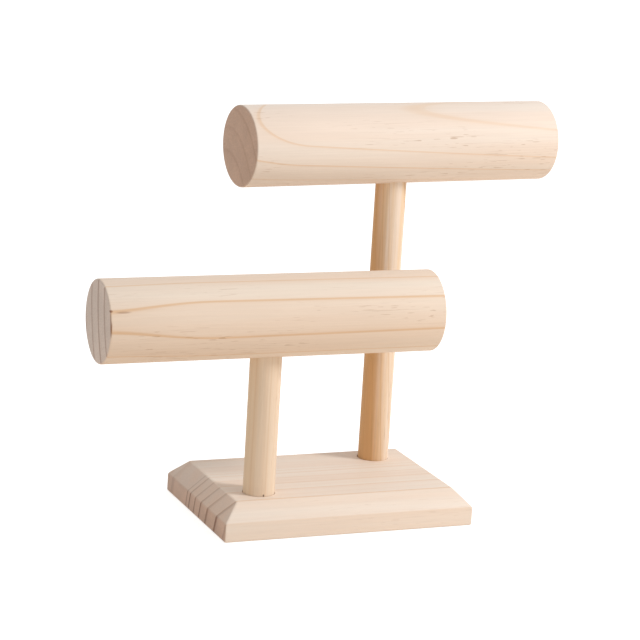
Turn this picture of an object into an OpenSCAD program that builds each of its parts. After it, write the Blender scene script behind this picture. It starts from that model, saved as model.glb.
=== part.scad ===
// Two-tier bracelet display stand in plain sanded pine.
// A chamfered board carries two round posts at opposite corners. Each post holds one round bar
// across its top, the lower bar in front and the upper bar behind.
// Frame: origin at the middle of the board's underside, +X along the bars, +Y to the back, +Z up.

/* [Board] */
// Length of the board, along the bars
board_len = 163; // [140:1:220]
// Width of the board, front to back
board_wid = 107; // [94:1:150]
// Thickness of the board
board_t = 22; // [19:0.5:32]
// Height and width of the 45 degree chamfer round the top
board_chamfer = 10.5; // [3:0.5:14]
// Radius of the sanded edges of the board
board_edge_r = 0.8; // [0.4:0.1:1.4]

/* [Bars] */
// Diameter of both bars
bar_d = 50; // [36:1:64]
// Length of both bars
bar_len = 212; // [150:1:280]
// Radius of the sanded edge round each end of a bar
bar_edge_r = 0.8; // [0.4:0.1:3]
// Height of the lower bar's axis above the table
lower_bar_z = 132; // [100:1:150]
// Height of the upper bar's axis above the table
upper_bar_z = 226; // [205:1:320]
// Turn of the upper bar on its post, as it was put together, in degrees
upper_bar_turn = 4.5; // [-12:0.5:12]

/* [Posts] */
// Diameter of both posts
post_d = 19.4; // [14:0.1:24]
// Chamfer on the ends of a post, hidden in the joints
post_end_chamfer = 0.8; // [0.3:0.1:1.5]
// Distance from the board's left end to the middle of the lower post
lower_post_inset = 30; // [28:0.5:50]
// Distance from the board's right end to the middle of the upper post
upper_post_inset = 33; // [28:0.5:50]
// Distance from each long side of the board to the middle of the nearer post
post_side_inset = 25.5; // [25:0.5:30]

/* [Joints] */
// Depth of the socket that each post stands in
socket_depth = 13.5; // [8:0.5:15]
// Clearance all round a post in its socket, which shows as a fine dark line
socket_gap = 0.3; // [0.1:0.05:0.6]
// Depth of the bore in a bar, from the bar's lowest line
bore_depth = 25; // [15:0.5:32]
// Clearance all round a post in its glued bore
bore_gap = 0.1; // [0.05:0.05:0.3]

/* [Screws] */
// Length of a screw from the top of its head to its point
screw_len = 35; // [25:1:45]
// Diameter of the shank
screw_d = 4; // [3:0.1:5]
// Diameter of the countersunk head
screw_head_d = 8; // [7:0.1:9.5]
// Height of the straight rim of the head
screw_head_rim = 0.4; // [0.2:0.05:0.8]
// Length of the point
screw_point = 6; // [3:0.5:9]
// Width of each arm of the cross recess
recess_w = 0.9; // [0.6:0.05:1.2]
// Span of the cross recess
recess_span = 4.4; // [3:0.1:5]
// Depth of the cross recess
recess_depth = 1.6; // [0.8:0.1:2]
// How far the head is sunk below the board's underside
screw_sink = 0.6; // [0.2:0.1:1]
// Clearance all round a screw
screw_gap = 0.1; // [0.05:0.05:0.3]

/* [Hidden] */
$fn = 96;
// Steps of the arc at each sanded edge of the board
edge_steps = 5;
// How far a cutting solid runs past the face that it cuts
over = 1;

post_y = board_wid / 2 - post_side_inset;
lower_at = [lower_post_inset - board_len / 2, -post_y];
upper_at = [board_len / 2 - upper_post_inset, post_y];
socket_floor_z = board_t - socket_depth;

pine_bar = [0.95, 0.88, 0.80];
pine_board = [0.92, 0.84, 0.76];
pine_post = [0.89, 0.76, 0.60];
steel = [0.72, 0.72, 0.74];

function unit(v) = v / norm(v);

// Arc that rounds corner p between its neighbours a and b, which follow each other anticlockwise
function corner_arc(a, p, b, r) =
    let (to_a = unit(a - p),
         to_b = unit(b - p),
         half = acos(to_a * to_b) / 2,
         centre = p + unit(to_a + to_b) * r / sin(half),
         start = p + to_a * r / tan(half) - centre,
         first = atan2(start[1], start[0]),
         sweep = 180 - 2 * half)
    [for (i = [0:edge_steps])
        centre + r * [cos(first + sweep * i / edge_steps), sin(first + sweep * i / edge_steps)]];

// A convex outline, listed anticlockwise, with every corner rounded
function rounded(points, r) =
    let (n = len(points))
    [for (i = [0:n - 1]) each corner_arc(points[(i + n - 1) % n], points[i], points[(i + 1) % n], r)];

// Section of the board across a span, with its underside on the first axis
module board_section(span) {
    half = span / 2;
    shoulder = board_t - board_chamfer;
    top = half - board_chamfer;
    polygon(rounded([[-half, 0], [half, 0], [half, shoulder], [top, board_t], [-top, board_t],
                     [-half, shoulder]], board_edge_r));
}

// Plan of the board with its four upright corners rounded
module board_plan() {
    x = board_len / 2;
    y = board_wid / 2;
    polygon(rounded([[-x, -y], [x, -y], [x, y], [-x, y]], board_edge_r));
}

// The same section run along both directions leaves the hipped chamfer where the two cross
module board_blank() {
    intersection() {
        rotate([90, 0, 0])
            linear_extrude(board_wid + 2 * over, center = true) board_section(board_len);
        rotate([90, 0, 90])
            linear_extrude(board_len + 2 * over, center = true) board_section(board_wid);
        translate([0, 0, -over])
            linear_extrude(board_t + 2 * over) board_plan();
    }
}

// Outline of one half of a screw, from the middle of its head to its point, grown by a clearance
module screw_half(gap) {
    shank_r = screw_d / 2 + gap;
    head_r = screw_head_d / 2 + gap;
    cone_end = screw_head_rim + (screw_head_d - screw_d) / 2;
    polygon([[0, 0], [head_r, 0], [head_r, screw_head_rim], [shank_r, cone_end],
             [shank_r, screw_len - screw_point], [gap, screw_len + gap], [0, screw_len + gap]]);
}

// The hole that a screw needs, open through the underside
module screw_hole() {
    translate([0, 0, screw_sink]) rotate_extrude() screw_half(screw_gap);
    translate([0, 0, -over])
        cylinder(d = screw_head_d + 2 * screw_gap, h = screw_sink + over + screw_head_rim / 2);
}

module base_board() {
    color(pine_board)
    difference() {
        board_blank();
        for (at = [lower_at, upper_at]) translate(at) {
            translate([0, 0, socket_floor_z])
                cylinder(d = post_d + 2 * socket_gap, h = socket_depth + over);
            screw_hole();
        }
    }
}

// A post from the floor of its socket to the end of the bore in its bar
module post(bar_z) {
    top_z = bar_z - bar_d / 2 + bore_depth;
    r = post_d / 2;
    c = post_end_chamfer;
    difference() {
        translate([0, 0, socket_floor_z])
            rotate_extrude()
                polygon([[0, 0], [r - c, 0], [r, c], [r, top_z - socket_floor_z - c],
                         [r - c, top_z - socket_floor_z], [0, top_z - socket_floor_z]]);
        screw_hole();
    }
}

module lower_post() {
    color(pine_post) translate(lower_at) post(lower_bar_z);
}

module upper_post() {
    color(pine_post) translate(upper_at) post(upper_bar_z);
}

// Half section of a bar along its axis, with the end edges rounded
module bar_half() {
    r = bar_d / 2;
    e = bar_edge_r;
    square([r - e, bar_len]);
    translate([0, e]) square([r, bar_len - 2 * e]);
    for (end = [e, bar_len - e]) translate([r - e, end]) circle(e);
}

// A bar centred on its axis, with the blind bore for its post in the underside
module bar() {
    difference() {
        rotate([0, 90, 0]) translate([0, 0, -bar_len / 2]) rotate_extrude() bar_half();
        translate([0, 0, -bar_d / 2 - over])
            cylinder(d = post_d + 2 * bore_gap, h = bore_depth + over);
    }
}

module lower_bar() {
    color(pine_bar) translate([lower_at[0], lower_at[1], lower_bar_z]) bar();
}

module upper_bar() {
    color(pine_bar)
        translate([upper_at[0], upper_at[1], upper_bar_z]) rotate([0, 0, upper_bar_turn]) bar();
}

// One countersunk wood screw, head down, with its cross recess
module screw() {
    difference() {
        rotate_extrude() screw_half(0);
        for (turn = [0, 90]) rotate([0, 0, turn])
            translate([-recess_span / 2, -recess_w / 2, -over])
                cube([recess_span, recess_w, recess_depth + over]);
    }
}

module post_screws() {
    color(steel)
        for (at = [lower_at, upper_at]) translate([at[0], at[1], screw_sink]) screw();
}

base_board();
lower_post();
upper_post();
lower_bar();
upper_bar();
post_screws();
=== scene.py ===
# %% [markdown]
# A bracelet display stand in plain sanded pine. A chamfered board lies on the table. Two round
# posts stand in it at opposite corners, and each carries a round bar across its top. We load the
# measured model first, because every piece that we make has to sit where that model says.

# %% Load the measured model
from math import cos, pi, radians, sin

import bpy
from mathutils import Matrix, Vector


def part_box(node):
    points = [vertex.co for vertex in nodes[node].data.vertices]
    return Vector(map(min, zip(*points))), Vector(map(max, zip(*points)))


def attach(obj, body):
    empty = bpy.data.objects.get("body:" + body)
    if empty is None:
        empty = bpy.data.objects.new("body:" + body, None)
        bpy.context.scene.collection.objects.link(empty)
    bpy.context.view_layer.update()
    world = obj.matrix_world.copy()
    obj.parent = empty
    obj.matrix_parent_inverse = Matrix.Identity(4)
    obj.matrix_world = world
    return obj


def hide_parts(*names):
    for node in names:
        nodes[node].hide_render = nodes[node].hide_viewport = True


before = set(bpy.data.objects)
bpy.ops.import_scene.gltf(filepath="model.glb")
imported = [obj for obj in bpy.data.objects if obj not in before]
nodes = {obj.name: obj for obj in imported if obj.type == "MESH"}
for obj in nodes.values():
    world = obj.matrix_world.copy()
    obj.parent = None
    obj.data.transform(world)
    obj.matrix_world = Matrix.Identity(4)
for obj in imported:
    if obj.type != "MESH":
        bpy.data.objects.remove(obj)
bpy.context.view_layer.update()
# One millimetre, because Blender measures in metres
MM = 0.001
print("nodes:", sorted(nodes))

# %% [markdown]
# The places and sizes come from the measured model's own boxes, so that nothing is typed twice.
# A post is a dowel, so half its box is its radius. The lower bar lies straight along X. The upper
# bar was put on its post with a small turn, which its box confirms.

# %% Measure the pieces
def middle(node):
    """The middle of a node's box."""
    low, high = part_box(node)
    return (low + high) / 2


def extent(node):
    """The size of a node's box along X, Y and Z."""
    low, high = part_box(node)
    return high - low


board_size = extent("base_board")
bar_radius = extent("lower_bar").z / 2
bar_length = extent("lower_bar").x
post_radius = extent("lower_post").x / 2
upper_turn = radians(4.5)
expected = bar_length * cos(upper_turn) + 2 * bar_radius * sin(upper_turn)
print("bar radius mm", round(bar_radius / MM, 2), "length mm", round(bar_length / MM, 1))
print("post radius mm", round(post_radius / MM, 2))
print("upper bar's width in X mm", round(extent("upper_bar").x / MM, 1),
      "expected", round(expected / MM, 1))

# %% [markdown]
# The camera comes from a fit to the photograph: its place, its heading, how far it looks down, a
# little roll, and a long lens. It is an ordinary camera with no shift, so the other views keep
# their shape too.

# %% Place the camera
camera_place = Vector((-0.56884, -1.31903, 0.45658))
# In radians, with the heading counted from +Y towards +X
heading, look_down, roll = 0.40330, 0.22988, 0.06072
# The lens and the picture's side in pixels, and the width of the sensor in millimetres
focal_in_pixels, picture_side, sensor = 2397.28, 640, 36.0

forward = Vector((sin(heading) * cos(look_down), cos(heading) * cos(look_down), -sin(look_down)))
level = Vector((cos(heading), -sin(heading), 0.0))
upward = level.cross(forward)
side_axis = cos(roll) * level + sin(roll) * upward
up_axis = -sin(roll) * level + cos(roll) * upward

camera_data = bpy.data.cameras.new("camera")
camera_data.sensor_width = sensor
camera_data.lens = focal_in_pixels / picture_side * sensor
camera_data.clip_start, camera_data.clip_end = 0.05, 60.0
camera = bpy.data.objects.new("camera", camera_data)
bpy.context.scene.collection.objects.link(camera)
turned = Matrix((side_axis, up_axis, -forward)).transposed().to_4x4()
camera.matrix_world = Matrix.Translation(camera_place) @ turned
bpy.context.scene.camera = camera
print("lens mm:", round(camera_data.lens, 1))

# %% [markdown]
# A few small helpers stand for what a maker does by hand. One clears the selection, because an
# operator works on everything selected. One puts the finished shape's place into its mesh, so
# that the grain pattern, which is read from the object's own coordinates, lines up with the piece.
# The others pick edges or faces by where they lie, and make the surface ready for its finish.

# %% Helpers for modelling
# Points closer than this, in metres, count as the same point
SAME_PLACE = 1e-6


def clear_selection():
    """Leaves edit mode and selects nothing."""
    if bpy.context.object and bpy.context.object.mode != "OBJECT":
        bpy.ops.object.mode_set(mode="OBJECT")
    bpy.ops.object.select_all(action="DESELECT")


def settle(piece):
    """Puts the piece's place and turn into its mesh and leaves its object at the origin."""
    clear_selection()
    piece.select_set(True)
    bpy.context.view_layer.objects.active = piece
    bpy.ops.object.transform_apply(location=True, rotation=True, scale=True)
    return piece


def pick(piece, edges=None, faces=None):
    """Opens edit mode with only the edges or faces chosen that the given test accepts."""
    clear_selection()
    piece.select_set(True)
    bpy.context.view_layer.objects.active = piece
    mesh = piece.data
    for element in (mesh.vertices, mesh.edges, mesh.polygons):
        element.foreach_set("select", [False] * len(element))
    chosen = 0
    if edges:
        for edge in mesh.edges:
            ends = [mesh.vertices[i].co for i in edge.vertices]
            edge.select = edges(*ends)
            chosen += edge.select
    if faces:
        for face in mesh.polygons:
            face.select = faces(face)
            chosen += face.select
    bpy.context.tool_settings.mesh_select_mode = (False, bool(edges), not edges)
    bpy.ops.object.mode_set(mode="EDIT")
    return chosen


def finish_surface(piece, angle=40):
    """Smooth shading that keeps edges sharper than the angle, and normals that point outwards."""
    pick(piece, faces=lambda face: True)
    bpy.ops.mesh.remove_doubles(threshold=SAME_PLACE)
    bpy.ops.mesh.normals_make_consistent(inside=False)
    bpy.ops.object.mode_set(mode="OBJECT")
    bpy.ops.object.shade_smooth_by_angle(angle=radians(angle))


print("points merge within mm:", SAME_PLACE / MM)

# %% [markdown]
# The posts are lengths of dowel. Each is a cylinder whose ends are chamfered so that they start
# easily in their holes. The edges at the two ends are picked by their height and bevelled.

# %% Turn the two posts
post_chamfer = 0.8 * MM
# Sides of a post, and of a hole as wide as a post
post_sides = 96


def make_post(name, node):
    """A dowel as long as its node's box is high, chamfered at both ends."""
    low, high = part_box(node)

    def at_an_end(a, b):
        to_an_end = min(abs(a.z - low.z), abs(a.z - high.z))
        return abs(a.z - b.z) < SAME_PLACE and to_an_end < SAME_PLACE

    clear_selection()
    bpy.ops.mesh.primitive_cylinder_add(vertices=post_sides, radius=post_radius,
                                        depth=high.z - low.z, location=(low + high) / 2)
    post = settle(bpy.context.object)
    post.name = name
    picked = pick(post, edges=at_an_end)
    bpy.ops.mesh.bevel(offset=post_chamfer, segments=1)
    bpy.ops.object.mode_set(mode="OBJECT")
    finish_surface(post)
    print(name, "end edges bevelled:", picked, "faces:", len(post.data.polygons))
    return post


lower_dowel = make_post("lower_dowel", "lower_post")
upper_dowel = make_post("upper_dowel", "upper_post")

# %% [markdown]
# A hole is made as at a drill press: a standing cylinder is the drill, and a Boolean takes its
# shape out of the piece. One helper makes the drill and another one does the cutting, because one
# of the cutters will be a cone.

# %% Helpers for drilling
def carve(piece, cutter):
    """Cuts the cutter's shape out of the piece and throws the cutter away."""
    clear_selection()
    bpy.context.view_layer.objects.active = piece
    piece.select_set(True)
    cut = piece.modifiers.new("cut", "BOOLEAN")
    cut.operation, cut.solver, cut.object = "DIFFERENCE", "EXACT", cutter
    bpy.ops.object.modifier_apply(modifier=cut.name)
    bpy.data.objects.remove(cutter)


def drill(x, y, radius, from_z, to_z, sides=post_sides):
    """A round cutter, standing, from one height to another."""
    clear_selection()
    bpy.ops.mesh.primitive_cylinder_add(vertices=sides, radius=radius, depth=to_z - from_z,
                                        location=(x, y, (from_z + to_z) / 2))
    return settle(bpy.context.object)


print("sides of a drill for a post:", post_sides)

# %% [markdown]
# Each bar is a thick dowel, sawn square and then sanded, so the rim of each end is gently round.
# A cylinder lies down along X, its end rims are bevelled in several steps, and a blind hole for
# the post is drilled from below. Cuts across the bar near the hole keep the shading even there.

# %% Turn the two bars
rim_radius = 1.1 * MM
bore_clearance = 0.1 * MM
bar_sides, rim_steps = 160, 5
# Where the bar is cut across, from its middle
even_cuts = (-60 * MM, -20 * MM, 20 * MM, 60 * MM)


def make_bar(name, node, post_node, turn):
    """A thick dowel with rounded rims, bored for its post and turned about it."""
    place, post_top = middle(node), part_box(post_node)[1].z

    def on_a_rim(a, b):
        return abs(a.x - b.x) < SAME_PLACE and abs(abs(a.x) - bar_length / 2) < SAME_PLACE

    clear_selection()
    bpy.ops.mesh.primitive_cylinder_add(vertices=bar_sides, radius=bar_radius, depth=bar_length)
    bar = bpy.context.object
    bar.name = name
    bar.rotation_euler = (0, pi / 2, 0)
    settle(bar)
    picked = pick(bar, edges=on_a_rim)
    bpy.ops.mesh.bevel(offset=rim_radius, segments=rim_steps)
    for across in even_cuts:
        bpy.ops.mesh.select_all(action="SELECT")
        bpy.ops.mesh.bisect(plane_co=(across, 0, 0), plane_no=(1, 0, 0))
    bpy.ops.object.mode_set(mode="OBJECT")
    carve(bar, drill(0, 0, post_radius + bore_clearance, -2 * bar_radius, post_top - place.z))
    bar.rotation_euler = (0, 0, turn)
    bar.location = place
    settle(bar)
    finish_surface(bar)
    print(name, "rim edges bevelled:", picked, "faces:", len(bar.data.polygons))
    return bar


front_bar = make_bar("front_bar", "lower_bar", "lower_post", 0.0)
back_bar = make_bar("back_bar", "upper_bar", "upper_post", upper_turn)

# %% [markdown]
# The board is one piece of planed pine. A box is made as high as the upright edge, its top face
# is extruded by the height of the chamfer and drawn in by the same amount all round, and then all
# the edges are softened as sandpaper would.

# %% Plane the board
chamfer = 10.5 * MM
edge_radius, edge_steps = 0.9 * MM, 4

shoulder = board_size.z - chamfer
clear_selection()
bpy.ops.mesh.primitive_cube_add(size=1, location=(0, 0, shoulder / 2))
pine_board = bpy.context.object
pine_board.name = "pine_board"
pine_board.scale = (board_size.x, board_size.y, shoulder)
settle(pine_board)
pick(pine_board, faces=lambda face: face.normal.z > 0.9)
bpy.ops.mesh.extrude_region_move(TRANSFORM_OT_translate={"value": (0, 0, chamfer)})
shrink = (1 - 2 * chamfer / board_size.x, 1 - 2 * chamfer / board_size.y, 1)
bpy.ops.transform.resize(value=shrink, center_override=(0, 0, board_size.z))
bpy.ops.mesh.select_all(action="SELECT")
bpy.ops.mesh.bevel(offset=edge_radius, segments=edge_steps, affect="EDGES")
bpy.ops.object.mode_set(mode="OBJECT")
print("pine_board faces before drilling:", len(pine_board.data.polygons))

# %% [markdown]
# Two blind sockets in the board's top take the posts, a hair wider than the dowels. Below each
# one a countersunk hole comes up for the screw: a narrow hole for the shank, a cone for the head,
# and a short straight mouth, because the head is sunk a little below the underside. The upper
# post's socket was drilled a quarter of a millimetre off, so a dark crescent shows at that
# post's foot.

# %% Drill the board for its posts and screws
socket_clearance = 0.3 * MM
upper_socket_shift = Vector((-0.24, -0.06, 0)) * MM
# The holes are a tenth of a millimetre wider all round than the shank and the head of a screw
hole_radius, mouth_radius = 2.1 * MM, 4.1 * MM
head_rim, head_sink = 0.5 * MM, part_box("post_screws")[0].z
hole_sides, mouth_sides = 48, 64
# How far one cutter reaches into the room that another one leaves
into_socket, into_cone = 1 * MM, 0.05 * MM

cone_height = mouth_radius - hole_radius
cone_foot = head_sink + head_rim
for post in ("lower_post", "upper_post"):
    at, socket_floor = middle(post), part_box(post)[0].z
    socket = at + (upper_socket_shift if post == "upper_post" else Vector())
    carve(pine_board, drill(socket.x, socket.y, post_radius + socket_clearance,
                            socket_floor, 2 * board_size.z))
    carve(pine_board, drill(at.x, at.y, hole_radius,
                            -board_size.z, socket_floor + into_socket, hole_sides))
    clear_selection()
    bpy.ops.mesh.primitive_cone_add(vertices=mouth_sides, radius1=mouth_radius,
                                    radius2=hole_radius, depth=cone_height,
                                    location=(at.x, at.y, cone_foot + cone_height / 2))
    carve(pine_board, settle(bpy.context.object))
    carve(pine_board, drill(at.x, at.y, mouth_radius,
                            -board_size.z, cone_foot + into_cone, mouth_sides))
finish_surface(pine_board, angle=30)
print("pine_board faces:", len(pine_board.data.polygons))

# %% [markdown]
# Pine is read here as a solid block of growth rings. Every point of a piece asks how far it lies
# from the tree's heart, the pith, and the piece's list of ring distances says which year's wood
# that is and how late in the year it grew. The wood made in spring is pale and the wood made in
# late summer is a thin darker band with a sharp outer edge. The same block then gives the arches
# on a bar's side, the stripes on a board and the lines on sawn ends, and they meet at every edge,
# as they do in real timber. A pattern is a handful of nodes, so one helper adds a node, sets it
# and links it.

# %% Colours and the node helper
def linear(colour):
    """An sRGB hex colour as linear red, green, blue and alpha, by the sRGB curve."""
    channels = [int(colour[i:i + 2], 16) / 255 for i in (1, 3, 5)]
    return tuple(c / 12.92 if c <= 0.04045 else ((c + 0.055) / 1.055) ** 2.4
                 for c in channels) + (1.0,)


def add(tree, kind, inputs, stops=(), **settings):
    """Adds a node, sets its settings and the stops of its ramp, links or fills its inputs."""
    node = tree.nodes.new("ShaderNode" + kind)
    for name, value in settings.items():
        setattr(node, name, value)
    for i, (place, grey) in enumerate(stops):
        if i >= len(node.color_ramp.elements):
            node.color_ramp.elements.new(place)
        node.color_ramp.elements[i].position = place
        node.color_ramp.elements[i].color = (grey, grey, grey, 1.0)
    for key, value in inputs.items():
        if isinstance(value, bpy.types.NodeSocket):
            tree.links.new(value, node.inputs[key])
        else:
            node.inputs[key].default_value = value
    return node.outputs


# The places of a colour mixer's inputs and output among its sockets
AMOUNT, FIRST, SECOND, MIXED = 0, 6, 7, 2
print("pale pine as linear colour:", [round(c, 3) for c in linear("#F0E0CF")])

# %% [markdown]
# Sanded wood is full of soft streaks of many sizes: clouds of warmer wood, fibres, pores and
# resin. All of them are the same thing, a noise pulled out along the grain, with its own length
# and thickness, sharpened so that it has edges. A real fibre is thinner than a pixel here, so the
# fibres are drawn about 1 mm thick.

# %% Streaks along the grain
def long_noise(tree, grain, size, detail):
    """Noise whose lumps have the given length along the grain and thickness across it."""
    length, thickness = size
    scale = (1 / length, 1 / thickness, 1 / thickness)
    pulled = add(tree, "VectorMath", {0: grain, 1: scale}, operation="MULTIPLY")[0]
    return add(tree, "TexNoise", {"Vector": pulled, "Scale": 1.0, "Detail": detail})


def streaks(tree, grain, size, low, high, detail):
    """Long noise, sharpened to run from 0 to 1 between two of its levels."""
    noise = long_noise(tree, grain, size, detail)[0]
    return add(tree, "MapRange", {"Value": noise, "From Min": low, "From Max": high},
               interpolation_type="SMOOTHSTEP")[0]


FIBRE = (38.46 * MM, 1.111 * MM)
print("length and thickness of a fibre in mm:", [round(x / MM, 1) for x in FIBRE])

# %% [markdown]
# The trunk was never a perfect cylinder. A slow noise makes the rings wander by a fraction of a
# millimetre, a lean makes them climb through the piece, and a bend moves them in or out round a
# place where a branch once grew. All three are what draws arches on a straight bar. Good and poor
# years differ in how wide and how dark their rings are, so each piece lists how far its rings lie
# from the heart, in millimetres, each with the strength of the late wood inside it. The first one
# is only where the count starts. One ramp turns a distance into a count of years, and a second
# one, in steps, gives that year's strength.

# %% Growth rings
SLOW_WANDER = (200 * MM, 62.5 * MM)


def ring_count(tree, timber, position, grain):
    """A point's distance from the heart, its count of years, and that year's strength."""
    wander = long_noise(tree, grain, SLOW_WANDER, detail=2.0)["Color"]
    centred = add(tree, "VectorMath", {0: wander, 1: (0.5, 0.5, 0.5)}, operation="SUBTRACT")[0]
    swing = (0.0, timber["wander"], timber["wander"])
    shift = add(tree, "VectorMath", {0: centred, 1: swing}, operation="MULTIPLY")[0]
    moved = add(tree, "VectorMath", {0: grain, 1: shift}, operation="ADD")[0]
    across = add(tree, "VectorMath", {0: moved, 1: (0.0, 1.0, 1.0)}, operation="MULTIPLY")[0]
    distance = add(tree, "VectorMath", {0: across}, operation="LENGTH")["Value"]
    along = add(tree, "SeparateXYZ", {0: grain})[0]
    distance = add(tree, "Math", {0: along, 1: timber["lean"], 2: distance},
                   operation="MULTIPLY_ADD")[0]
    for place, reach, depth in timber["bends"]:
        away = add(tree, "VectorMath", {0: position, 1: place}, operation="DISTANCE")["Value"]
        dip = add(tree, "MapRange", {"Value": away, "From Max": reach, "To Min": depth,
                                     "To Max": 0.0}, interpolation_type="SMOOTHERSTEP")[0]
        distance = add(tree, "Math", {0: distance, 1: dip}, operation="SUBTRACT")[0]
    rings = [ring * MM for ring, dark in timber["rings"]]
    years, width = len(rings) - 1, rings[-1] - rings[0]
    places = [(ring - rings[0]) / width for ring in rings]
    share = add(tree, "MapRange", {"Value": distance, "From Min": rings[0],
                                   "From Max": rings[-1]})[0]
    climb = [(at, i / years) for i, at in enumerate(places)]
    count = add(tree, "ValToRGB", {0: share}, stops=climb)[0]
    count = add(tree, "Math", {0: count, 1: float(years)}, operation="MULTIPLY")[0]
    steps = [(at, following[1]) for at, following in zip(places, timber["rings"][1:])]
    strength = add(tree, "ValToRGB", {0: share}, stops=steps)[0]
    strength.node.color_ramp.interpolation = "CONSTANT"
    return distance, count, strength


def late_wood(tree, count, strength, stops):
    """How much of the dark late wood is at this place in its ring, stronger in some years."""
    part = add(tree, "Math", {0: count}, operation="FRACT")[0]
    late = add(tree, "ValToRGB", {0: part}, stops=stops)[0]
    return add(tree, "Math", {0: late, 1: strength}, operation="MULTIPLY")[0]


# How dark the wood is through one year, from its spring at 0 to the end of its summer at 1
SIDE_RING = [(0.0, 0.40), (0.02, 0.08), (0.06, 0.0), (0.70, 0.0), (0.88, 0.06), (0.93, 0.20),
             (0.96, 0.85), (0.98, 1.0), (1.0, 0.70)]
END_RING = [(0.0, 0.50), (0.03, 0.0), (0.60, 0.05), (0.80, 0.15), (0.86, 0.75), (0.94, 1.0),
            (1.0, 0.8)]
print("a year's darkest part, on a side and on an end:",
      [max(ring, key=lambda stop: stop[1])[0] for ring in (SIDE_RING, END_RING)])

# %% [markdown]
# A few resin canals show as short brown dashes some millimetres long, in loose groups. A piece
# can also have single marks, such as a small knot, a fray, or a dark speck of painted shade for
# a small chip: each is a soft spot of its own size at its own place on the piece.

# %% Resin canals and single marks
# Length along the grain and thickness across it
SHORT_CANAL, LONG_CANAL = (8.333 * MM, 0.6667 * MM), (26.32 * MM, 0.5882 * MM)
CANAL_GROUP = (90.91 * MM, 20.0 * MM)
# How strong a long canal is beside a short one
LONG_SHARE = 0.6
# A mark is full within this part of its half size, and gone beyond the second one
MARK_FULL, MARK_GONE = 0.4, 1.2


def canals_and_marks(tree, timber, grain, position):
    """Short canals in loose groups, and the few single marks that this piece has, painted shade
    among them.
    """
    short = streaks(tree, grain, SHORT_CANAL, low=0.69, high=0.77, detail=0.0)
    long = streaks(tree, grain, LONG_CANAL, low=0.70, high=0.82, detail=0.0)
    groups = streaks(tree, grain, CANAL_GROUP, low=0.44, high=0.66, detail=1.0)
    canals = add(tree, "Math", {0: long, 1: LONG_SHARE, 2: short}, operation="MULTIPLY_ADD")[0]
    canals = add(tree, "Math", {0: canals, 1: groups}, operation="MULTIPLY")[0]
    canals = add(tree, "Math", {0: canals, 1: timber["canals"]}, operation="MULTIPLY")[0]
    spots = 0.0
    for place, half_sizes, strength in timber["marks"]:
        away = add(tree, "VectorMath", {0: position, 1: place}, operation="SUBTRACT")[0]
        away = add(tree, "VectorMath", {0: away, 1: half_sizes}, operation="DIVIDE")[0]
        away = add(tree, "VectorMath", {0: away}, operation="LENGTH")["Value"]
        mark = add(tree, "MapRange", {"Value": away, "From Min": MARK_FULL, "From Max": MARK_GONE,
                                      "To Min": strength, "To Max": 0.0},
                   interpolation_type="SMOOTHSTEP")[0]
        spots = add(tree, "Math", {0: spots, 1: mark}, operation="MAXIMUM")[0]
    return canals, spots


print("lengths of resin canals in mm:", [round(size[0] / MM) for size in (SHORT_CANAL, LONG_CANAL)])

# %% [markdown]
# On a side, the early wood has faint warm clouds, and the late wood crosses it in thin darker
# bands. Wood near the heart is older and more orange than the pale sapwood outside it, and a post
# can have both; on a post the heartwood lies on the side away from the lamp, so there it is partly
# painted shade. The fibres shade all of it a little.

# %% The wood along the grain
# The length of the warm clouds, whose thickness differs from piece to piece
CLOUD_LENGTH = 333.3 * MM


def side_colour(tree, timber, distance, late, clouds, fibres):
    """Early wood with warm clouds, heartwood inside it, late wood in bands, and fibres. On a post
    the heartwood is partly painted shade.
    """
    colour = add(tree, "Mix", {AMOUNT: clouds, FIRST: linear(timber["early"]),
                               SECOND: linear(timber["early_warm"])}, data_type="RGBA")[MIXED]
    heart_ends, sap_starts = timber["heartwood"]
    sap = add(tree, "MapRange", {"Value": distance, "From Min": heart_ends,
                                 "From Max": sap_starts}, interpolation_type="SMOOTHSTEP")[0]
    colour = add(tree, "Mix", {AMOUNT: sap, FIRST: linear(timber["heart"]), SECOND: colour},
                 data_type="RGBA")[MIXED]
    colour = add(tree, "Mix", {AMOUNT: late, FIRST: colour, SECOND: linear(timber["late"])},
                 data_type="RGBA")[MIXED]
    shade = add(tree, "MapRange", {"Value": fibres, "To Min": timber["fibre_shade"],
                                   "To Max": 1.0})[0]
    return add(tree, "Mix", {AMOUNT: 1.0, FIRST: colour, SECOND: shade}, data_type="RGBA",
               blend_type="MULTIPLY")[MIXED]


print("length of a warm cloud in mm:", round(CLOUD_LENGTH / MM))

# %% [markdown]
# Sawn ends look different from sides. The cut fibres soak up light, so an end is greyer and
# darker, the rings are dark lines on it, and a fine grit of pores shows. The surface's own
# direction against the grain says how much of an end it is, so the slanted end of the board, which
# is half way between, comes out half way too.

# %% The wood across the grain
GRIT = (3.846 * MM, 0.6667 * MM)
# How straight a face has to stand across the grain before it starts to look like an end
SLANT = 0.42


def end_colour(tree, timber, grain, late, clouds):
    """Greyer wood with dark rings, a grit of pores and faint clouds."""
    grit = streaks(tree, grain, GRIT, low=0.3, high=0.7, detail=2.0)
    pores = add(tree, "MapRange", {"Value": grit, "To Min": 0.90, "To Max": 1.05})[0]
    blotch = add(tree, "MapRange", {"Value": clouds, "To Min": 0.95, "To Max": 1.03})[0]
    colour = add(tree, "Mix", {AMOUNT: late, FIRST: linear(timber["end_early"]),
                               SECOND: linear(timber["end_late"])}, data_type="RGBA")[MIXED]
    for shade in (pores, blotch):
        colour = add(tree, "Mix", {AMOUNT: 1.0, FIRST: colour, SECOND: shade},
                     data_type="RGBA", blend_type="MULTIPLY")[MIXED]
    return colour


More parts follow.
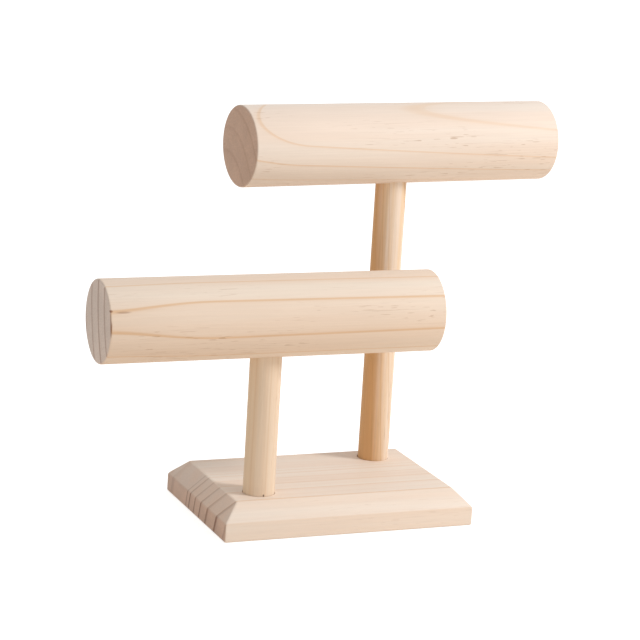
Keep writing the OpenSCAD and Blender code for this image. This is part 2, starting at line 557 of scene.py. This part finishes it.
def how_much_an_end(tree, timber, facing):
    """0 on a face along the grain and 1 on one straight across it."""
    direction = add(tree, "VectorRotate", {"Vector": (1.0, 0.0, 0.0), "Rotation": timber["turn"]},
                    rotation_type="EULER_XYZ")[0]
    across = add(tree, "VectorMath", {0: facing, 1: direction}, operation="DOT_PRODUCT")["Value"]
    across = add(tree, "Math", {0: across}, operation="ABSOLUTE")[0]
    return add(tree, "MapRange", {"Value": across, "From Min": SLANT, "From Max": 1.0})[0]


print("length and thickness of a pore in mm:", [round(x / MM, 1) for x in GRIT])

# %% [markdown]
# The finish is plain sanding with no oil or varnish. It is matt all over, a little smoother on
# the fibres than between them, and so shallow in its relief that it only breaks up the light: the
# late wood stands proud, because sandpaper takes the soft early wood first, and the canals are
# tiny grooves.

# %% The pine material
DULL, SATIN = 0.66, 0.54
LATE_RELIEF, CANAL_RELIEF = 0.5, -1.5
RELIEF_STRENGTH, RELIEF_HEIGHT = 0.2, 0.2 * MM


def sanded_pine(name, timber):
    """Unfinished pine, planed or turned and then sanded: matt, with satin fibres."""
    material = bpy.data.materials.new(name)
    material.use_nodes = True
    tree = material.node_tree
    tree.nodes.clear()
    place = add(tree, "TexCoord", {})
    position, facing = place["Object"], place["Normal"]
    grain = add(tree, "Mapping", {"Vector": position, "Location": timber["pith"],
                                  "Rotation": timber["turn"]}, vector_type="TEXTURE")[0]
    distance, count, strength = ring_count(tree, timber, position, grain)
    side_late = late_wood(tree, count, strength, SIDE_RING)
    end_late = late_wood(tree, count, strength, END_RING)
    cloud_size = (CLOUD_LENGTH, timber["cloud_thickness"])
    clouds = streaks(tree, grain, cloud_size, low=0.35, high=0.65, detail=2.0)
    fibres = streaks(tree, grain, FIBRE, low=0.25, high=0.75, detail=3.0)
    canals, spots = canals_and_marks(tree, timber, grain, position)

    side = side_colour(tree, timber, distance, side_late, clouds, fibres)
    end = end_colour(tree, timber, grain, end_late, clouds)
    endness = how_much_an_end(tree, timber, facing)
    colour = add(tree, "Mix", {AMOUNT: endness, FIRST: side, SECOND: end}, data_type="RGBA")[MIXED]
    # The marks' colour is a real stain on the bars and painted shade for a chip on the lower post
    for amount, stain_and_shade in ((canals, timber["resin"]), (spots, timber["mark_and_shade_colour"])):
        colour = add(tree, "Mix", {AMOUNT: amount, FIRST: colour, SECOND: linear(stain_and_shade)},
                     data_type="RGBA")[MIXED]

    rough = add(tree, "MapRange", {"Value": fibres, "To Min": DULL, "To Max": SATIN})[0]
    relief = add(tree, "Math", {0: side_late, 1: LATE_RELIEF, 2: fibres},
                 operation="MULTIPLY_ADD")[0]
    relief = add(tree, "Math", {0: canals, 1: CANAL_RELIEF, 2: relief},
                 operation="MULTIPLY_ADD")[0]
    bump = add(tree, "Bump", {"Strength": RELIEF_STRENGTH, "Distance": RELIEF_HEIGHT,
                              "Height": relief})[0]
    shader = add(tree, "BsdfPrincipled", {"Base Color": colour, "Roughness": rough, "Normal": bump,
                                          "IOR": 1.5, "Specular IOR Level": 0.35})[0]
    add(tree, "OutputMaterial", {"Surface": shader})
    return material


print("pine's roughness between the fibres and on them:", DULL, SATIN)

# %% [markdown]
# Each stick was cut from its own place in its own tree. A bar's heart is found by going out from
# the middle of the bar, and the same helper finds its bends and marks, which lie on its surface.
# A stick's values only say where it differs from plain timber.

# %% Plain timber, and places round a bar
def about_bar(node, turn, along, angle, distance=bar_radius):
    """A point by its place along a bar, its angle above the front, and how far from the axis."""
    axis = Vector((cos(turn), sin(turn), 0))
    out = Vector((sin(turn) * cos(angle), -cos(turn) * cos(angle), sin(angle)))
    return tuple(middle(node) + along * axis + distance * out)


# No point lies less than nothing from the heart, so plain timber has no heartwood
plain = {"turn": (0.0, 0.0, 0.0), "lean": 0.0, "wander": 1.0 * MM, "bends": [], "marks": [],
         "canals": 0.4, "fibre_shade": 0.965, "cloud_thickness": 16.67 * MM,
         "resin": "#B08A68", "mark_and_shade_colour": "#8F5F42", "heart": "#FFFFFF", "heartwood": (-2.0, -1.0)}
print("plain timber's values:", sorted(plain))

# %% [markdown]
# The heart of the lower bar's tree lies in front of it, and its lean is close to nothing, so the
# bar shows long lines. The upper bar's tree lies behind and below it and leans, which gives
# pointed arches. The rings are about 10 to 12 mm wide, as in fast-grown pine. The lower bar's
# left end has a small knot mark, a faint streak beside it and a dark fray down its rim.

# %% Timber for the two bars
def on_lower_bar(along, angle):
    """A point on the lower bar, by millimetres from its middle and degrees above its front."""
    return about_bar("lower_bar", 0.0, along * MM, radians(angle))


lower_bar_pine = plain | {
    "pith": about_bar("lower_bar", 0.0, 0.0, radians(10.4), 88.3 * MM),
    "lean": 0.004, "wander": 0.2 * MM,
    "rings": [(54.9, 0), (66.7, 0.9), (78.6, 0.75), (90.4, 0.9), (102.3, 0.7), (114.1, 0.9),
              (126.0, 1)],
    "bends": [(on_lower_bar(-116.2, -52.88), 90 * MM, -3.15 * MM)],
    "marks": [(on_lower_bar(-105.8, 26.67), (1.6 * MM, 1.6 * MM, 0.9 * MM), 0.85),
              (on_lower_bar(-98.1, 24.61), (5.0 * MM, 1.4 * MM, 0.7 * MM), 0.45),
              (on_lower_bar(-105.9, 5.73), (0.9 * MM, 0.9 * MM, 9.0 * MM), 0.75)],
    "early": "#F0E0CF", "early_warm": "#EED8C4", "late": "#E2BC96",
    "end_early": "#DBCBC0", "end_late": "#A98B7B"}
arch_tip = about_bar("upper_bar", upper_turn, -118.0 * MM, radians(104.34))
upper_bar_pine = plain | {
    "pith": about_bar("upper_bar", upper_turn, 0.0, radians(245.9), 58.0 * MM),
    "turn": (0.0, 0.0, upper_turn), "lean": 0.047, "wander": 0.5 * MM, "canals": 0.5,
    "rings": [(18, 0), (28, 0.5), (39, 0.6), (50, 0.5), (61.7, 0.7), (71.3, 0.6), (83.7, 0.4),
              (96, 0.6)],
    "bends": [(arch_tip, 64.2 * MM, 10.6 * MM)],
    "early": "#F2E4D7", "early_warm": "#F1DECE", "late": "#E8C4A0",
    "end_early": "#CDAD98", "end_late": "#BE9C86"}
print("hearts of the bars in mm:",
      [[round(x / MM) for x in timber["pith"]] for timber in (lower_bar_pine, upper_bar_pine)])

# %% [markdown]
# The board was sawn with its rings leaning, so its end shows slanting lines. Its years were
# uneven: most rings are 9 to 15 mm wide, one is nearly 28 mm, and two are near 5 mm. The dowels
# have rings of about 4 to 15 mm and their hearts close beside them, so both have heartwood on
# the left side, away from the lamp, the upper one the most. It is partly the wood's own colour and
# partly painted shade on that side. The lower one has a dark speck at its foot, painted shade for
# the dark inside a small chip there.

# %% Timber for the board and the two posts
board_pine = plain | {
    "pith": (0.0, -139 * MM, -36 * MM), "wander": 1.4 * MM, "cloud_thickness": 9.091 * MM,
    "rings": [(83, 0), (98.4, 0.35), (113, 0.9), (127.7, 0.7), (138.6, 0.8), (147.9, 0.7),
              (156.6, 0.9), (161.2, 0.8), (189, 0.25), (194.7, 0.35), (206, 0.6)],
    "early": "#F2E4D6", "early_warm": "#F0DDCC", "late": "#E6C6A8",
    "end_early": "#D2B4A0", "end_late": "#80543F", "canals": 0.1}

# A post's grain stands up, and its heart lies to the left of it and a little behind, on the side
# away from the lamp, where its heartwood is also painted shade
upright = (0.0, -pi / 2, 0.0)
post_side_in_shade = Vector((-0.92, 0.39, 0.0))
lower_at, upper_at = middle("lower_post"), middle("upper_post")
# A dark speck on the lower post's front at its foot: painted shade for the dark inside a small chip
foot_chip_shade = (lower_at.x - 0.6 * MM, lower_at.y - post_radius, board_size.z + 0.7 * MM)
lower_post_pine = plain | {
    "pith": tuple(lower_at + 26 * MM * post_side_in_shade), "turn": upright,
    "cloud_thickness": 3.846 * MM, "heartwood": (18 * MM, 30 * MM),
    "rings": [(8, 0), (22.8, 0.6), (31.5, 0.5), (44, 0.6)],
    # The speck's near-black colour is painted shade
    "marks": [(foot_chip_shade, (0.6 * MM, 0.6 * MM, 0.9 * MM), 0.85)], "mark_and_shade_colour": "#4E3118",
    # The heart colour is partly the wood's own and partly painted shade on the post's side away
    # from the lamp
    "early": "#EFDAC3", "early_warm": "#EBD1B6", "late": "#E3C4A2", "heart": "#E9D0B2",
    "end_early": "#C3A88A", "end_late": "#8D6C4C", "fibre_shade": 0.95}
upper_post_pine = plain | {
    "pith": tuple(upper_at + 20 * MM * post_side_in_shade), "turn": upright, "lean": 0.05,
    "cloud_thickness": 3.333 * MM, "heartwood": (15 * MM, 26 * MM),
    "rings": [(6, 0), (11, 0.6), (16.7, 0.7), (21.7, 0.6), (25.5, 0.5), (33, 0.6)],
    # The heart colour is partly the wood's own and partly painted shade on the post's side away
    # from the lamp
    "early": "#F6E3D1", "early_warm": "#EFD3B3", "late": "#D3A36C", "heart": "#DEAD78",
    "end_early": "#B8946C", "end_late": "#7F5A38", "fibre_shade": 0.92}

timbers = {"lower_bar": lower_bar_pine, "upper_bar": upper_bar_pine, "board": board_pine,
           "lower_post": lower_post_pine, "upper_post": upper_post_pine}
pines = {name: sanded_pine("sanded_pine_" + name, timber) for name, timber in timbers.items()}
print("pine materials:", sorted(pines))

# %% [markdown]
# The screws are zinc-plated steel. Zinc plating is a bright metal with a soft, slightly cloudy
# finish, so a metallic shader gets its roughness from a fine noise.

# %% The screws' finish
zinc_cloud = 1.111 * MM
zinc = bpy.data.materials.new("zinc_plated_steel")
zinc.use_nodes = True
zinc_tree = zinc.node_tree
zinc_tree.nodes.clear()
zinc_place = add(zinc_tree, "TexCoord", {})["Object"]
cloud = add(zinc_tree, "TexNoise", {"Vector": zinc_place, "Scale": 1 / zinc_cloud,
                                    "Detail": 3.0})[0]
zinc_rough = add(zinc_tree, "MapRange", {"Value": cloud, "To Min": 0.28, "To Max": 0.48})[0]
zinc_colour = add(zinc_tree, "Mix", {AMOUNT: cloud, FIRST: linear("#C9CBCD"),
                                     SECOND: linear("#B4B6BA")}, data_type="RGBA")[MIXED]
zinc_bump = add(zinc_tree, "Bump", {"Strength": 0.15, "Distance": 0.05 * MM, "Height": cloud})[0]
zinc_shader = add(zinc_tree, "BsdfPrincipled", {"Base Color": zinc_colour, "Metallic": 1.0,
                                                "Roughness": zinc_rough, "Normal": zinc_bump})[0]
add(zinc_tree, "OutputMaterial", {"Surface": zinc_shader})
print("nodes in the zinc plating:", len(zinc_tree.nodes))

# %% [markdown]
# Now each piece gets its finish and takes the place of its node in the measured model. The screws
# need no new shape, because only their heads show, so they keep the measured model's and get the
# zinc finish alone.

# %% Dress the pieces and put each in its node's place
made = [(pine_board, "base_board", pines["board"], "board_pine"),
        (lower_dowel, "lower_post", pines["lower_post"], "lower_post_pine"),
        (upper_dowel, "upper_post", pines["upper_post"], "upper_post_pine"),
        (front_bar, "lower_bar", pines["lower_bar"], "lower_bar_pine"),
        (back_bar, "upper_bar", pines["upper_bar"], "upper_bar_pine")]
for piece, node, material, slot in made:
    piece.data.materials.clear()
    piece.data.materials.append(material)
    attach(piece, "root")
    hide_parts(node)
screws = nodes["post_screws"]
screws.data.materials.clear()
screws.data.materials.append(zinc)
print("pieces:", [piece.name for piece, *rest in made])

# %% [markdown]
# The stand is shown on a white table before white, as in a small photo studio. The floor is an
# ordinary pale surface that takes the stand's shadow. To the camera alone it also gives off a
# little light, so that it reads as white without any more light falling on the wood. What it
# throws back up is a little warm, because the undersides of pale wood glow with its own colour.

# %% The white table
floor_size, floor_drop = 24.0, 0.2 * MM
floor_seen, floor_bounce, floor_glow = "#E6E6E6", "#F9EBDB", 0.66


def seen_directly(tree):
    """1 for a ray that shows this to the eye, also by gloss or glass, and 0 for light on wood."""
    rays = add(tree, "LightPath", {})
    eye = add(tree, "Math", {0: rays["Is Camera Ray"], 1: rays["Is Glossy Ray"]},
              operation="MAXIMUM")[0]
    return add(tree, "Math", {0: eye, 1: rays["Is Transmission Ray"]}, operation="MAXIMUM")[0]


clear_selection()
bpy.ops.mesh.primitive_plane_add(size=floor_size, location=(0, 0, -floor_drop))
floor = bpy.context.object
floor.name = "floor"
floor_material = bpy.data.materials.new("white_table")
floor_material.use_nodes = True
floor_tree = floor_material.node_tree
floor_tree.nodes.clear()
seen = seen_directly(floor_tree)
lift = add(floor_tree, "Math", {0: seen, 1: floor_glow}, operation="MULTIPLY")[0]
tone = add(floor_tree, "Mix", {AMOUNT: seen, FIRST: linear(floor_bounce),
                               SECOND: linear(floor_seen)}, data_type="RGBA")[MIXED]
plain_floor = add(floor_tree, "BsdfDiffuse", {"Color": tone})[0]
glow = add(floor_tree, "Emission", {"Color": (1, 1, 1, 1), "Strength": lift})[0]
both = add(floor_tree, "AddShader", {0: plain_floor, 1: glow})[0]
add(floor_tree, "OutputMaterial", {"Surface": both})
floor.data.materials.append(floor_material)
print("floor side in m:", floor_size, "below the board by mm:", round(floor_drop / MM, 1))

# %% [markdown]
# A white room surrounds the table. The camera sees it as plain white, at a strength of 1, and the
# wood gets a little more than half of that as soft light from all round.

# %% The white room
room_light = 0.59
room = bpy.data.worlds.new("studio")
bpy.context.scene.world = room
room.use_nodes = True
room_tree = room.node_tree
room_tree.nodes.clear()
room_level = add(room_tree, "MapRange", {"Value": seen_directly(room_tree),
                                         "To Min": room_light, "To Max": 1.0})[0]
white = add(room_tree, "Background", {"Color": (1, 1, 1, 1), "Strength": room_level})[0]
add(room_tree, "OutputWorld", {"Surface": white})
print("the room's light on the wood:", room_light)

# %% [markdown]
# One soft lamp, half a metre wide, stands on the right of the camera's view and a little in front
# of the stand, which sees it about 37 degrees up. That is what the shadows in the photograph say:
# they fall to the left, with soft edges. The white room does the rest.

# %% The lamp
lamp_place, lamp_aim = Vector((1.47, -0.96, 1.42)), Vector((0.0, 0.0, 0.12))
# Its width in metres and its power in watts
lamp_width, lamp_power = 0.5, 25.0

lamp_data = bpy.data.lights.new("key_lamp", "AREA")
lamp_data.shape, lamp_data.size, lamp_data.energy = "DISK", lamp_width, lamp_power
key_lamp = bpy.data.objects.new("key_lamp", lamp_data)
bpy.context.scene.collection.objects.link(key_lamp)
key_lamp.location = lamp_place
key_lamp.rotation_mode = "QUATERNION"
key_lamp.rotation_quaternion = (lamp_aim - lamp_place).to_track_quat("-Z", "Y")
print("from the lamp to the stand in m:", round((lamp_aim - lamp_place).length, 2))

# %% [markdown]
# The colours are shown as they were written, with no film look over them.

# %% Colour management
bpy.context.scene.view_settings.view_transform = "Standard"
